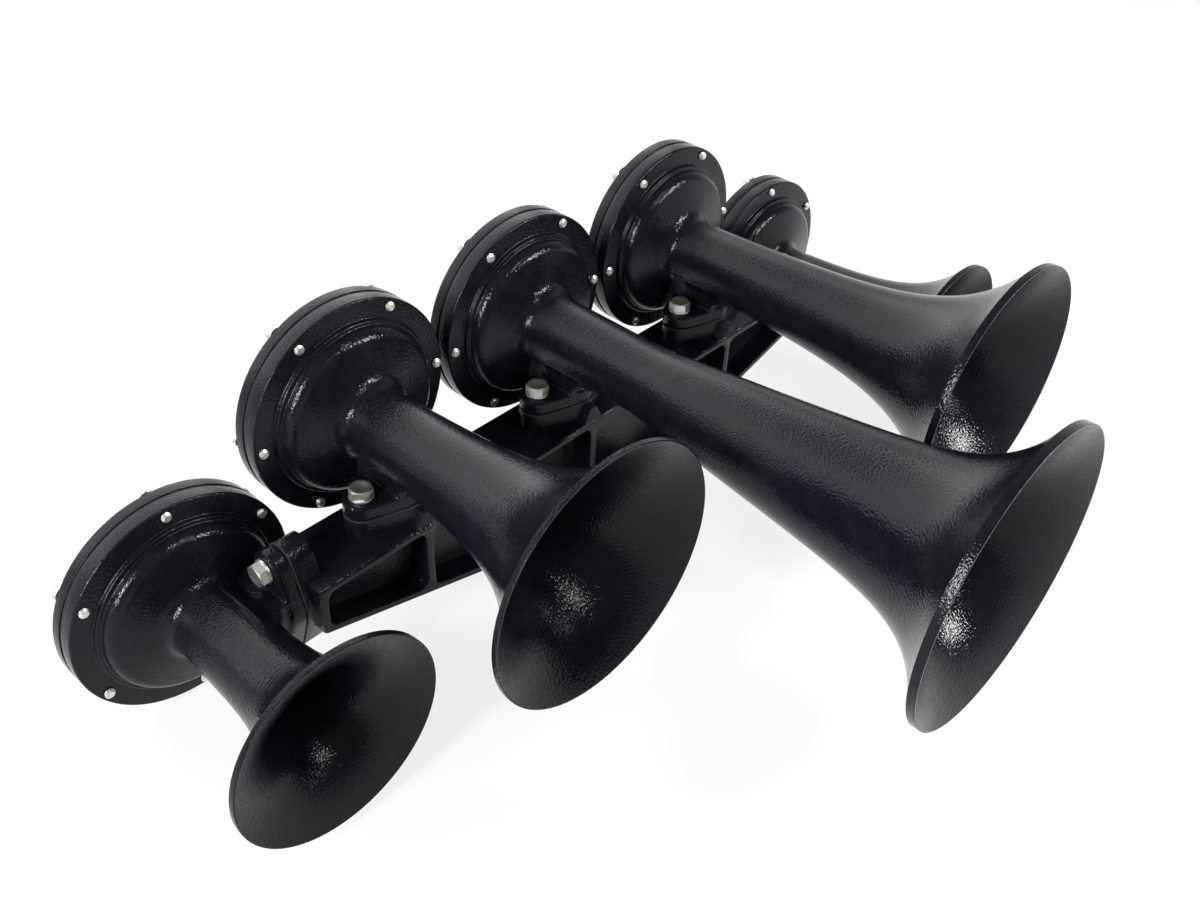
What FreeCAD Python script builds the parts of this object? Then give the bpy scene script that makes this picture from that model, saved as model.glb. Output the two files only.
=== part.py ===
import FreeCAD, Part
import math
import os
from collections import namedtuple

# Five-chime train air horn. Millimetres, +Z up, bells facing -Y, +X along the manifold.
# The origin is the centre of the base's underside, where the air comes in. The bolt line of all
# foot bolts runs through x along y = 0.

# Layout of the horns
top_pitch = 141.5
top_axis_height = 140.0
end_axis_height = 70.0
bolt_line_to_flange = 36.0
foot_drop = 42.0

# Bells, from the first on the left to the fifth on the right: length in front of the chamber
# flange, outer radius of the mouth and of the throat, where the throat starts to widen, the slope
# of its taper, and the length over which the flare grows by its own size
bell_1_length = 138.5
bell_1_mouth_r = 62.5
bell_1_throat_r = 21.7
bell_1_taper_start = 32.0
bell_1_taper_share = 0.03
bell_1_flare_length = 15.3
bell_2_length = 201.0
bell_2_mouth_r = 76.6
bell_2_throat_r = 21.4
bell_2_taper_start = 32.0
bell_2_taper_share = 0.04
bell_2_flare_length = 31.2
bell_3_length = 348.2
bell_3_mouth_r = 88.5
bell_3_throat_r = 22.0
bell_3_taper_start = 105.0
bell_3_taper_share = 0.11
bell_3_flare_length = 21.5
bell_4_length = 263.9
bell_4_mouth_r = 83.0
bell_4_throat_r = 21.9
bell_4_taper_start = 32.0
bell_4_taper_share = 0.03
bell_4_flare_length = 38.5
bell_5_length = 170.4
bell_5_mouth_r = 63.5
bell_5_throat_r = 20.6
bell_5_taper_start = 32.0
bell_5_taper_share = 0.02
bell_5_flare_length = 30.6

# Bell casting: wall, rolled lip, flange, dome of the sound chamber, nozzle
bell_wall = 4.0
lip_length = 6.0
lip_wall = 3.2
lip_bevel = 0.8
flange_r = 68.0
bell_flange_t = 8.6
flange_bevel = 1.2
step_r = 55.4
step_h = 3.0
step_bevel = 1.0
dome_side_r = 52.5
dome_side_h = 9.9
dome_round = 4.5
dome_cone_share = 0.222
dome_wall = 4.5
throat_fillet = 9.0
nozzle_bore_r = 11.0
nozzle_lip_wall = 3.5
nozzle_root_r = 18.5

# Sheet pieces in the chamber joint
gasket_t = 0.8
diaphragm_t = 0.8
sheet_setback = 0.8

# Back cover
cover_rim_t = 7.5
cover_dome_h = 9.0
cover_crown_r = 33.0
cover_slope_top = 3.0
cover_wall = 4.5
cover_vent_r = 1.5

# Cover screws and their lock washers
screw_count = 6
screw_circle_r = 63.0
screw_r = 3.0
screw_head_flats = 10.0
screw_head_h = 4.0
screw_washer_r = 5.4
screw_washer_t = 1.6
screw_end_out = 2.3
thread_fit = 0.05
screw_clearance = 0.3

# Foot bolts and their lock washers
foot_bolt_span = 26.5
bolt_r = 4.0
bolt_head_flats = 13.0
bolt_head_h = 5.3
bolt_length = 22.0
bolt_washer_r = 7.6
bolt_washer_t = 2.0
bolt_clearance = 0.4
bolt_hole_spare = 1.5
washer_sides = 12
sheet_hole_sides = 8

# Foot of each bell: two-bolt plate, air port and the web that carries the port
foot_nose_r = 19.5
foot_ear_r = 11.5
foot_plate_t = 9.7
web_half_width = 12.5
web_front = 17.0
web_shoulder_r = 8.0
web_front_r = 10.0
web_sink = 0.6
port_r = 7.0
port_cross_r = 6.0
port_cross_level = 31.0

# Manifold casting
beam_half_length = 220.0
beam_half_depth = 26.0
beam_rear_depth = 23.0
beam_end_depth = 32.0
beam_skin = 4.0
beam_edge_bevel = 1.2
web_half_t = 10.0
rib_t = 5.0
end_wall_t = 4.5
pocket_corner_r = 6.0
pad_height = 12.0
end_pad_t = 13.8
end_pad_proud = 4.8
gusset_top_w = 6.0
gusset_foot_w = 16.0
gusset_top_drop = 2.0
duct_r = 6.5
duct_end_inset = 19.8
duct_rise_from_inlet = 10.0

# Base with the air inlet
base_half_x = 70.0
base_half_y = 52.0
base_t = 12.0
base_corner_r = 12.0
base_bolt_x = 104.0
base_bolt_y = 78.0
base_hole_r = 5.5
inlet_r = 11.75
inlet_depth = 20.0
inlet_boss_r = 17.5

# Arcs that make up each flare, and one overrun for all cuts
flare_arcs = 4
overrun = 5.0

# Derived planes of one horn, measured along its own axis from the flange's front face
lip_plane = bell_flange_t + gasket_t
cover_plane = lip_plane + diaphragm_t + gasket_t
rim_plane = cover_plane + cover_rim_t
crown_plane = rim_plane + cover_dome_h
chamber_r = dome_side_r - dome_wall
sheet_r = flange_r - sheet_setback
nozzle_lip_r = nozzle_bore_r + nozzle_lip_wall
foot_face = foot_drop - gasket_t
ear_top = foot_face - foot_plate_t
pad_face_z = top_axis_height - foot_drop
pad_face_x = beam_half_length + end_pad_proud
end_offset = pad_face_x + foot_drop
beam_top = pad_face_z - pad_height
beam_end_bottom = beam_top - beam_end_depth
bolt_reach = bolt_length - bolt_washer_t - foot_plate_t - gasket_t

BEVEL = "bevel"
turn_share = 0.5
X_AXIS = FreeCAD.Vector(1, 0, 0)
Y_AXIS = FreeCAD.Vector(0, 1, 0)
Z_AXIS = FreeCAD.Vector(0, 0, 1)
CENTRE = FreeCAD.Vector(0, 0, 0)

Horn = namedtuple("Horn", "number x z turn length mouth_r throat_r taper_start taper_share flare")

horns = [
    Horn(1, -end_offset, end_axis_height, -90, bell_1_length, bell_1_mouth_r,
         bell_1_throat_r, bell_1_taper_start, bell_1_taper_share, bell_1_flare_length),
    Horn(2, -top_pitch, top_axis_height, 0, bell_2_length, bell_2_mouth_r,
         bell_2_throat_r, bell_2_taper_start, bell_2_taper_share, bell_2_flare_length),
    Horn(3, 0, top_axis_height, 0, bell_3_length, bell_3_mouth_r,
         bell_3_throat_r, bell_3_taper_start, bell_3_taper_share, bell_3_flare_length),
    Horn(4, top_pitch, top_axis_height, 0, bell_4_length, bell_4_mouth_r,
         bell_4_throat_r, bell_4_taper_start, bell_4_taper_share, bell_4_flare_length),
    Horn(5, end_offset, end_axis_height, 90, bell_5_length, bell_5_mouth_r,
         bell_5_throat_r, bell_5_taper_start, bell_5_taper_share, bell_5_flare_length),
]


def vec(x, y, z=0):
    return FreeCAD.Vector(x, y, z)


def path_edges(corners):
    """Edges of an open path through corners, each one (point), (point, radius) or, for a flat
    bevel with that setback, (point, setback, BEVEL)."""
    edges = []
    start = corners[0][0]
    for index in range(1, len(corners) - 1):
        point = corners[index][0]
        if len(corners[index]) == 1:
            edges.append(Part.LineSegment(start, point).toShape())
            start = point
            continue
        size = corners[index][1]
        before = (corners[index - 1][0] - point).normalize()
        after = (corners[index + 1][0] - point).normalize()
        half_angle = before.getAngle(after) / 2
        flat = corners[index][-1] == BEVEL
        reach = size if flat else size / math.tan(half_angle)
        corner_start = point + before * reach
        corner_end = point + after * reach
        edges.append(Part.LineSegment(start, corner_start).toShape())
        if flat:
            edges.append(Part.LineSegment(corner_start, corner_end).toShape())
        else:
            inward = (before + after).normalize()
            arc_middle = point + inward * (size / math.sin(half_angle) - size)
            edges.append(Part.Arc(corner_start, arc_middle, corner_end).toShape())
        start = corner_end
    edges.append(Part.LineSegment(start, corners[-1][0]).toShape())
    return edges


def rounded_face(points, radius):
    """Face inside a closed outline with every corner rounded alike."""
    middle = (points[-1] + points[0]) / 2
    loop = [(middle,)] + [(point, radius) for point in points] + [(middle,)]
    return Part.Face(Part.Wire(path_edges(loop)))


def prism(sides, flat_r, height):
    """Upright prism with its flats at a radius, standing on z = 0."""
    corner_r = flat_r / math.cos(math.pi / sides)
    points = []
    for index in range(sides + 1):
        angle = 2 * math.pi * (index + turn_share) / sides
        points.append(vec(corner_r * math.cos(angle), corner_r * math.sin(angle)))
    return Part.Face(Part.makePolygon(points)).extrude(vec(0, 0, height))


def turned(edges):
    """Solid of revolution about the Y axis from closed edges in the XY plane, x being the radius."""
    face = Part.Face(Part.Wire(edges))
    return face.revolve(CENTRE, Y_AXIS, 360)


def rod(radius, length, start, direction):
    return Part.makeCylinder(radius, length, start, direction)


def mirrored_x(shape):
    return shape.mirror(CENTRE, X_AXIS)


def mirrored_y(shape):
    return shape.mirror(CENTRE, Y_AXIS)


def diamond_face(half_span, ear_r, nose_r):
    """Two-bolt flange outline in the XY plane: two ears along X joined by tangents to a nose."""
    tangent = math.acos((nose_r - ear_r) / half_span)

    def on_circle(centre_x, radius, angle):
        return vec(centre_x + radius * math.cos(angle), radius * math.sin(angle))

    right_top = on_circle(half_span, ear_r, tangent)
    right_low = on_circle(half_span, ear_r, -tangent)
    left_top = on_circle(-half_span, ear_r, math.pi - tangent)
    left_low = on_circle(-half_span, ear_r, math.pi + tangent)
    nose_right = on_circle(0, nose_r, tangent)
    nose_left = on_circle(0, nose_r, math.pi - tangent)
    nose_right_low = on_circle(0, nose_r, -tangent)
    nose_left_low = on_circle(0, nose_r, math.pi + tangent)
    edges = [
        Part.Arc(right_low, on_circle(half_span, ear_r, 0), right_top).toShape(),
        Part.LineSegment(right_top, nose_right).toShape(),
        Part.Arc(nose_right, on_circle(0, nose_r, math.pi / 2), nose_left).toShape(),
        Part.LineSegment(nose_left, left_top).toShape(),
        Part.Arc(left_top, on_circle(-half_span, ear_r, math.pi), left_low).toShape(),
        Part.LineSegment(left_low, nose_left_low).toShape(),
        Part.Arc(nose_left_low, on_circle(0, nose_r, -math.pi / 2), nose_right_low).toShape(),
        Part.LineSegment(nose_right_low, right_low).toShape(),
    ]
    return Part.Face(Part.Wire(edges))


def placed(shape, horn):
    """Carry a shape from the horn's own frame, axis along Y and foot down, to its place."""
    moved = shape.copy()
    moved.rotate(CENTRE, Y_AXIS, horn.turn)
    moved.translate(vec(horn.x, bolt_line_to_flange, horn.z))
    return moved


# Flare of one bell


def flare_height(horn):
    """How far the flare alone lifts the outer radius at the rolled lip."""
    taper_run = horn.length - lip_length - horn.taper_start
    return horn.mouth_r - horn.throat_r - horn.taper_share * taper_run


def outer_radius(horn, station):
    """Outer radius at a distance in front of the flange: throat, straight taper and flare."""
    taper_run = station - horn.taper_start
    growth = math.exp((station - horn.length + lip_length) / horn.flare)
    return horn.throat_r + horn.taper_share * taper_run + flare_height(horn) * growth


def outer_slope(horn, station):
    growth = math.exp((station - horn.length + lip_length) / horn.flare)
    return horn.taper_share + flare_height(horn) / horn.flare * growth


def station_at_slope(horn, slope):
    """Where the outer surface has a slope: the inverse of outer_slope."""
    growth = (slope - horn.taper_share) * horn.flare / flare_height(horn)
    return horn.length - lip_length + horn.flare * math.log(growth)


def inner_point(horn, station):
    """Point of the bore, one wall inside the outer surface and square to it."""
    slope = outer_slope(horn, station)
    square = math.sqrt(1 + slope * slope)
    radius = outer_radius(horn, station) - bell_wall / square
    return vec(radius, -station - bell_wall * slope / square)


def outer_point(horn, station):
    return vec(outer_radius(horn, station), -station)


def flare_stations(horn, last):
    """Ends and middles of the flare's arcs, each arc turning the surface by the same angle."""
    first_angle = math.atan(outer_slope(horn, horn.taper_start))
    last_angle = math.atan(outer_slope(horn, last))
    stations = [horn.taper_start]
    for index in range(1, 2 * flare_arcs):
        angle = first_angle + (last_angle - first_angle) * index / (2 * flare_arcs)
        stations.append(station_at_slope(horn, math.tan(angle)))
    stations.append(last)
    return stations


def bore_end_station(horn):
    """Outer station whose bore point has reached the inner radius of the rolled lip."""
    low = horn.taper_start
    high = horn.length - lip_length
    for _ in range(50):
        middle = (low + high) / 2
        if inner_point(horn, middle).x < horn.mouth_r - lip_wall:
            low = middle
        else:
            high = middle
    return low


def arcs_through(points):
    """One arc through each end, middle and end in a row of points."""
    return [Part.Arc(*points[index:index + 3]).toShape() for index in range(0, len(points) - 2, 2)]


def dome_front(radius):
    """Distance of the dome's conical front face ahead of the flange at a radius."""
    return dome_side_h + (dome_side_r - radius) * dome_cone_share


def chamber_front(radius):
    return dome_front(radius) - dome_wall * math.sqrt(1 + dome_cone_share ** 2)


def chamber_corners():
    """Corners of the ring-shaped air chamber, from the nozzle lip round to the flange."""
    return [
        (vec(nozzle_lip_r, lip_plane),),
        (vec(nozzle_root_r, -chamber_front(nozzle_root_r)),),
        (vec(chamber_r, -chamber_front(chamber_r)),),
        (vec(chamber_r, bell_flange_t),),
    ]


def bell_section(horn):
    """Closed half section of the whole bell casting, one loop from the nozzle round the mouth."""
    throat_end = vec(horn.throat_r, -horn.taper_start)
    body = [(vec(nozzle_bore_r, lip_plane),)] + chamber_corners() + [
        (vec(flange_r, bell_flange_t),),
        (vec(flange_r, 0), flange_bevel, BEVEL),
        (vec(step_r, 0),),
        (vec(step_r, -step_h), step_bevel, BEVEL),
        (vec(dome_side_r, -step_h),),
        (vec(dome_side_r, -dome_side_h), dome_round),
        (vec(horn.throat_r, -dome_front(horn.throat_r)), throat_fillet),
        (throat_end,),
    ]
    outside = [outer_point(horn, s) for s in flare_stations(horn, horn.length - lip_length)]
    inside = [inner_point(horn, s) for s in flare_stations(horn, bore_end_station(horn))]
    outside[0] = throat_end
    lip = [
        (outside[-1],),
        (vec(horn.mouth_r, -horn.length), lip_bevel, BEVEL),
        (vec(inside[-1].x, -horn.length), lip_bevel, BEVEL),
        (inside[-1],),
    ]
    edges = path_edges(body) + arcs_through(outside) + path_edges(lip)
    edges.extend(arcs_through(inside[::-1]))
    edges.append(Part.LineSegment(inside[0], body[0][0]).toShape())
    return edges


# Foot of one bell


def foot_plate():
    """Diamond plate with its two ears, centred under the bolt line."""
    plate = diamond_face(foot_bolt_span, foot_ear_r, foot_nose_r).extrude(vec(0, 0, foot_plate_t))
    plate.translate(vec(0, -bolt_line_to_flange, -foot_face))
    return plate


def foot_web(horn):
    """Web from the dome to the bolt line that holds the air port, blended into the throat."""
    seat_r = horn.throat_r - web_sink
    blend_x = web_half_width + web_shoulder_r
    blend_z = -math.sqrt((seat_r + web_shoulder_r) ** 2 - blend_x ** 2)
    blend_centre = vec(blend_x, 0, blend_z)
    to_axis = (CENTRE - blend_centre).normalize()
    touch = blend_centre + to_axis * web_shoulder_r
    side_point = vec(web_half_width, 0, blend_z)
    between = (to_axis + vec(-1, 0)).normalize()
    middle = blend_centre + between * web_shoulder_r
    low = -foot_face + foot_plate_t / 2
    edges = [
        Part.LineSegment(vec(-web_half_width, 0, low), vec(web_half_width, 0, low)).toShape(),
        Part.LineSegment(vec(web_half_width, 0, low), side_point).toShape(),
        Part.Arc(side_point, middle, touch).toShape(),
        Part.LineSegment(touch, vec(-touch.x, 0, touch.z)).toShape(),
        Part.Arc(vec(-touch.x, 0, touch.z), vec(-middle.x, 0, middle.z),
                 vec(-web_half_width, 0, blend_z)).toShape(),
        Part.LineSegment(vec(-web_half_width, 0, blend_z), vec(-web_half_width, 0, low)).toShape(),
    ]
    front = bolt_line_to_flange + web_front
    rear = chamber_front(foot_face)
    reach = front + web_front_r + overrun
    across = Part.Face(Part.Wire(edges)).extrude(vec(0, -reach))
    side_corners = [
        (vec(0, -rear, low),),
        (vec(0, -front, low),),
        (vec(0, -front, -seat_r), web_front_r),
        (vec(0, -reach, -seat_r),),
        (vec(0, -reach, 0),),
        (vec(0, -rear, 0),),
        (vec(0, -rear, low),),
    ]
    side = Part.Face(Part.Wire(path_edges(side_corners)))
    side.translate(vec(-blend_x, 0))
    along = side.extrude(vec(2 * blend_x, 0))
    return across.common(along)


def bell_foot(horn):
    """Plate and web, kept out of the bore and out of the air chamber."""
    foot = foot_plate().fuse(foot_web(horn))
    core = rod(horn.throat_r - bell_wall / 2, horn.length, CENTRE, -Y_AXIS)
    ring = path_edges(chamber_corners() + [chamber_corners()[0]])
    return foot.cut(core.fuse(turned(ring)))


def screw_places():
    for index in range(screw_count):
        angle = 2 * math.pi * index / screw_count
        yield vec(screw_circle_r * math.cos(angle), 0, screw_circle_r * math.sin(angle))


def ring_of_holes(radius, start, end):
    """Rods through the rim along Y, one at each screw."""
    rods = []
    for place in screw_places():
        rods.append(rod(radius, end - start + 2 * overrun, place + vec(0, start - overrun), Y_AXIS))
    return Part.makeCompound(rods)


def bell(horn):
    """One bell casting with its foot, air port, screw holes and bolt holes."""
    casting = turned(bell_section(horn)).fuse(bell_foot(horn))
    bolt_line = vec(0, -bolt_line_to_flange)
    port_top = port_cross_level - port_cross_r
    port = rod(port_r, foot_face - port_top + overrun,
               bolt_line + vec(0, 0, -foot_face - overrun), Z_AXIS)
    cross_end = bolt_line_to_flange - chamber_front(port_cross_level) + overrun
    cross = rod(port_cross_r, cross_end, bolt_line + vec(0, 0, -port_cross_level), Y_AXIS)
    bolt_holes = []
    for side in (-1, 1):
        start = bolt_line + vec(side * foot_bolt_span, 0, -foot_face - overrun)
        bolt_holes.append(rod(bolt_r + bolt_clearance, foot_plate_t + 2 * overrun, start, Z_AXIS))
    cuts = [port, cross, ring_of_holes(screw_r + thread_fit, 0, bell_flange_t)]
    return casting.cut(cuts + bolt_holes).removeSplitter()


# Chamber joint and back cover


def ring_sheet(inner_r, start, thickness):
    """Thin sheet piece of the chamber joint with its screw holes."""
    sheet = rod(sheet_r, thickness, vec(0, start), Y_AXIS)
    if inner_r > 0:
        bore = rod(inner_r, thickness + 2 * overrun, vec(0, start - overrun), Y_AXIS)
        sheet = sheet.cut(bore)
    hole = prism(sheet_hole_sides, screw_r + screw_clearance, thickness + 2 * overrun)
    return sheet.cut(ring_group(hole, start - overrun))


def back_cover():
    """Dished rear half of the chamber with a thick rim, a domed crown and a small vent."""
    inner_crown = crown_plane - cover_wall
    cover = turned(path_edges([
        (vec(0, crown_plane),),
        (vec(cover_crown_r, crown_plane),),
        (vec(dome_side_r - cover_slope_top, rim_plane + cover_slope_top),),
        (vec(dome_side_r, rim_plane),),
        (vec(flange_r, rim_plane), flange_bevel, BEVEL),
        (vec(flange_r, cover_plane),),
        (vec(chamber_r, cover_plane),),
        (vec(chamber_r, cover_plane + cover_wall),),
        (vec(cover_crown_r, inner_crown),),
        (vec(0, inner_crown),),
        (vec(0, crown_plane),),
    ]))
    vent = rod(cover_vent_r, cover_wall + 2 * overrun, vec(0, inner_crown - overrun), Y_AXIS)
    holes = ring_of_holes(screw_r + screw_clearance, cover_plane, rim_plane)
    return cover.cut([vent, holes])


# Fasteners, each made upright at the origin: underside of the head at z = 0


def hex_bolt(radius, flats, head_h, length):
    """Hexagon-head bolt, head upwards."""
    head = prism(6, flats / 2, head_h)
    return head.fuse(rod(radius, length, CENTRE, -Z_AXIS))


def washer(outer_r, inner_r, thickness):
    """Lock washer, its underside at z = 0, its round edges made of a few flats."""
    ring = prism(washer_sides, outer_r, thickness)
    return ring.cut(prism(washer_sides, inner_r, thickness))


def ring_group(shape, level):
    """One upright shape at every screw place, turned to point backwards from a plane."""
    lying = shape.copy()
    lying.rotate(CENTRE, X_AXIS, -90)
    group = []
    for place in screw_places():
        piece = lying.copy()
        piece.translate(place + vec(0, level))
        group.append(piece)
    return Part.makeCompound(group)


def foot_group(shape, level):
    """One upright shape over each foot bolt hole, at a height above the parting plane's zero."""
    group = []
    for side in (-1, 1):
        piece = shape.copy()
        piece.translate(vec(side * foot_bolt_span, -bolt_line_to_flange, level))
        group.append(piece)
    return Part.makeCompound(group)


def foot_gasket():
    gasket = diamond_face(foot_bolt_span, foot_ear_r, foot_nose_r).extrude(vec(0, 0, gasket_t))
    gasket = gasket.cut(rod(port_r, gasket_t + 2 * overrun, vec(0, 0, -overrun), Z_AXIS))
    for side in (-1, 1):
        start = vec(side * foot_bolt_span, 0, -overrun)
        gasket = gasket.cut(rod(bolt_r + bolt_clearance, gasket_t + 2 * overrun, start, Z_AXIS))
    gasket.translate(vec(0, -bolt_line_to_flange, -foot_drop))
    return gasket


# Manifold


def slope_height(x):
    """Height of the beam's sloping underside at a distance from the middle."""
    fall = (beam_end_bottom - base_t) / (beam_half_length - base_half_x)
    return beam_end_bottom - fall * (beam_half_length - x)


def beam_body():
    """Outer form of the beam: level top, undersides that slope down to the base, and a rear face
    that stays clear of the end horns' domes."""
    corners = [
        vec(-beam_half_length, 0, beam_top), vec(beam_half_length, 0, beam_top),
        vec(beam_half_length, 0, beam_end_bottom), vec(base_half_x, 0, base_t),
        vec(base_half_x, 0, 0), vec(-base_half_x, 0, 0),
        vec(-base_half_x, 0, base_t), vec(-beam_half_length, 0, beam_end_bottom),
        vec(-beam_half_length, 0, beam_top),
    ]
    face = Part.Face(Part.makePolygon(corners))
    face.translate(vec(0, -beam_half_depth))
    beam = face.extrude(vec(0, beam_half_depth + beam_rear_depth))
    middle_y = (beam_rear_depth - beam_half_depth) / 2
    near_face = (beam_rear_depth + beam_half_depth) / 2 - overrun / 100
    rim = [edge for edge in beam.Edges
           if abs(edge.CenterOfMass.y - middle_y) > near_face
           and edge.CenterOfMass.z > beam_end_bottom]
    return beam.makeChamfer(beam_edge_bevel, rim)


def pocket(corners):
    """Cutter for one pocket with round corners on the bell side, from the face to the web."""
    face = rounded_face(corners, pocket_corner_r)
    face.translate(vec(0, -web_half_t))
    return face.extrude(vec(0, -(beam_half_depth - web_half_t + overrun)))


def pockets():
    """All eight pockets: an inner and an outer one, mirrored to both sides and both faces."""
    ceiling = beam_top - beam_skin
    middle_x = rib_t / 2
    rib_x = top_pitch - rib_t / 2
    outer_x = top_pitch + rib_t / 2
    end_x = beam_half_length - end_wall_t
    fall = (beam_end_bottom - base_t) / (beam_half_length - base_half_x)
    level_end = base_half_x - beam_skin / fall
    inner = pocket([
        vec(middle_x, 0, base_t), vec(level_end, 0, base_t),
        vec(rib_x, 0, slope_height(rib_x) + beam_skin), vec(rib_x, 0, ceiling),
        vec(middle_x, 0, ceiling),
    ])
    outer = pocket([
        vec(outer_x, 0, slope_height(outer_x) + beam_skin),
        vec(end_x, 0, slope_height(end_x) + beam_skin),
        vec(end_x, 0, ceiling), vec(outer_x, 0, ceiling),
    ])
    cutters = []
    for cutter in (inner, outer):
        for side in (cutter, mirrored_x(cutter)):
            cutters.extend([side, mirrored_y(side)])
    return cutters


def gusset(pad_x):
    """Post between a pad's nose and the front rim of the beam, wider at its foot."""
    top = pad_face_z - gusset_top_drop
    corners = [
        vec(pad_x - gusset_foot_w / 2, 0, beam_top - beam_skin / 2),
        vec(pad_x - gusset_foot_w / 2, 0, beam_top),
        vec(pad_x - gusset_top_w / 2, 0, top), vec(pad_x + gusset_top_w / 2, 0, top),
        vec(pad_x + gusset_foot_w / 2, 0, beam_top),
        vec(pad_x + gusset_foot_w / 2, 0, beam_top - beam_skin / 2),
        vec(pad_x - gusset_foot_w / 2, 0, beam_top - beam_skin / 2),
    ]
    reach = beam_half_depth - beam_edge_bevel
    face = Part.Face(Part.makePolygon(corners))
    face.translate(vec(0, -reach))
    return face.extrude(vec(0, reach))


def top_pad(pad_x):
    """Diamond pad for one top horn, rooted in the beam's top skin."""
    root = beam_top - beam_skin / 2
    pad = diamond_face(foot_bolt_span, foot_ear_r, foot_nose_r).extrude(vec(0, 0, pad_face_z - root))
    pad.translate(vec(pad_x, 0, root))
    return pad


def end_pad():
    """Diamond pad on the right end of the beam, its long axis upright."""
    pad = diamond_face(foot_bolt_span, foot_ear_r, foot_nose_r).extrude(vec(0, 0, end_pad_t))
    pad.rotate(CENTRE, Y_AXIS, 90)
    pad.translate(vec(pad_face_x - end_pad_t, 0, end_axis_height))
    return pad


def base_plate():
    """Base flange with round corners."""
    corners = [
        vec(-base_half_x, -base_half_y), vec(base_half_x, -base_half_y),
        vec(base_half_x, base_half_y), vec(-base_half_x, base_half_y),
    ]
    return rounded_face(corners, base_corner_r).extrude(vec(0, 0, base_t))


def air_passages():
    """Threaded inlet, riser to the middle pad, sloping ducts and the ports of the other pads."""
    duct_start = inlet_depth + duct_rise_from_inlet
    duct_end_x = pad_face_x - duct_end_inset
    passages = [
        rod(inlet_r, inlet_depth + overrun, vec(0, 0, -overrun), Z_AXIS),
        rod(port_r, pad_face_z + overrun - inlet_depth, vec(0, 0, inlet_depth), Z_AXIS),
    ]
    for side in (-1, 1):
        run = vec(side * duct_end_x, 0, end_axis_height - duct_start)
        passages.append(rod(duct_r, run.Length, vec(0, 0, duct_start), run))
        passages.append(rod(port_r, duct_end_inset + duct_r + overrun,
                            vec(side * (duct_end_x - duct_r), 0, end_axis_height), X_AXIS * side))
        meet_z = duct_start + run.z * top_pitch / duct_end_x
        passages.append(rod(port_r, pad_face_z + overrun - meet_z,
                            vec(side * top_pitch, 0, meet_z), Z_AXIS))
    return passages


def manifold_bolt_holes():
    """Tapped holes under every foot bolt, and the four base holes."""
    depth = bolt_reach + bolt_hole_spare
    radius = bolt_r + thread_fit
    holes = []
    for side in (-1, 1):
        for pad_x in (-top_pitch, 0, top_pitch):
            start = vec(pad_x + side * foot_bolt_span, 0, pad_face_z - depth)
            holes.append(rod(radius, depth + overrun, start, Z_AXIS))
        for end in (-1, 1):
            start = vec(end * (pad_face_x - depth), 0, end_axis_height + side * foot_bolt_span)
            holes.append(rod(radius, depth + overrun, start, X_AXIS * end))
            start = vec(side * base_bolt_x / 2, end * base_bolt_y / 2, -overrun)
            holes.append(rod(base_hole_r, base_t + 2 * overrun, start, Z_AXIS))
    return holes


def manifold():
    """The cast manifold: beam, pads, gussets and base, less pockets, passages and holes."""
    inlet_boss = rod(inlet_boss_r, inlet_depth + duct_rise_from_inlet, CENTRE, Z_AXIS)
    casting = beam_body().cut(pockets())
    added = [base_plate(), inlet_boss, end_pad(), mirrored_x(end_pad())]
    for pad_x in (-top_pitch, 0, top_pitch):
        added.extend([top_pad(pad_x), gusset(pad_x)])
    casting = casting.fuse(added)
    return casting.cut(air_passages() + manifold_bolt_holes()).removeSplitter()


def horn_pieces(horn):
    """Every piece of one horn in its own frame, by node name."""
    screw_length = rim_plane + screw_washer_t + screw_end_out
    screw = hex_bolt(screw_r, screw_head_flats, screw_head_h, screw_length)
    screw_washer = washer(screw_washer_r, screw_r + screw_clearance, screw_washer_t)
    bolt = hex_bolt(bolt_r, bolt_head_flats, bolt_head_h, bolt_length)
    bolt_washer = washer(bolt_washer_r, bolt_r + bolt_clearance, bolt_washer_t)
    return {
        "bell": bell(horn),
        "back_cover": back_cover(),
        "front_gasket": ring_sheet(chamber_r, bell_flange_t, gasket_t),
        "diaphragm": ring_sheet(0, lip_plane, diaphragm_t),
        "rear_gasket": ring_sheet(chamber_r, lip_plane + diaphragm_t, gasket_t),
        "cover_screws": ring_group(screw, rim_plane + screw_washer_t),
        "cover_washers": ring_group(screw_washer, rim_plane),
        "foot_gasket": foot_gasket(),
        "foot_bolts": foot_group(bolt, bolt_washer_t - ear_top),
        "foot_washers": foot_group(bolt_washer, -ear_top),
    }


os.makedirs("parts", exist_ok=True)
manifold().exportStep("parts/manifold.step")
for horn in horns:
    for name, shape in horn_pieces(horn).items():
        placed(shape, horn).exportStep(f"parts/{name}_{horn.number}.step")
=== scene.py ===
import logging
import math
from contextlib import contextmanager
from dataclasses import dataclass
from enum import Enum
from typing import Callable, Iterable, Iterator, Sequence

import bmesh
import bpy
from mathutils import Matrix, Quaternion, Vector


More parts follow.
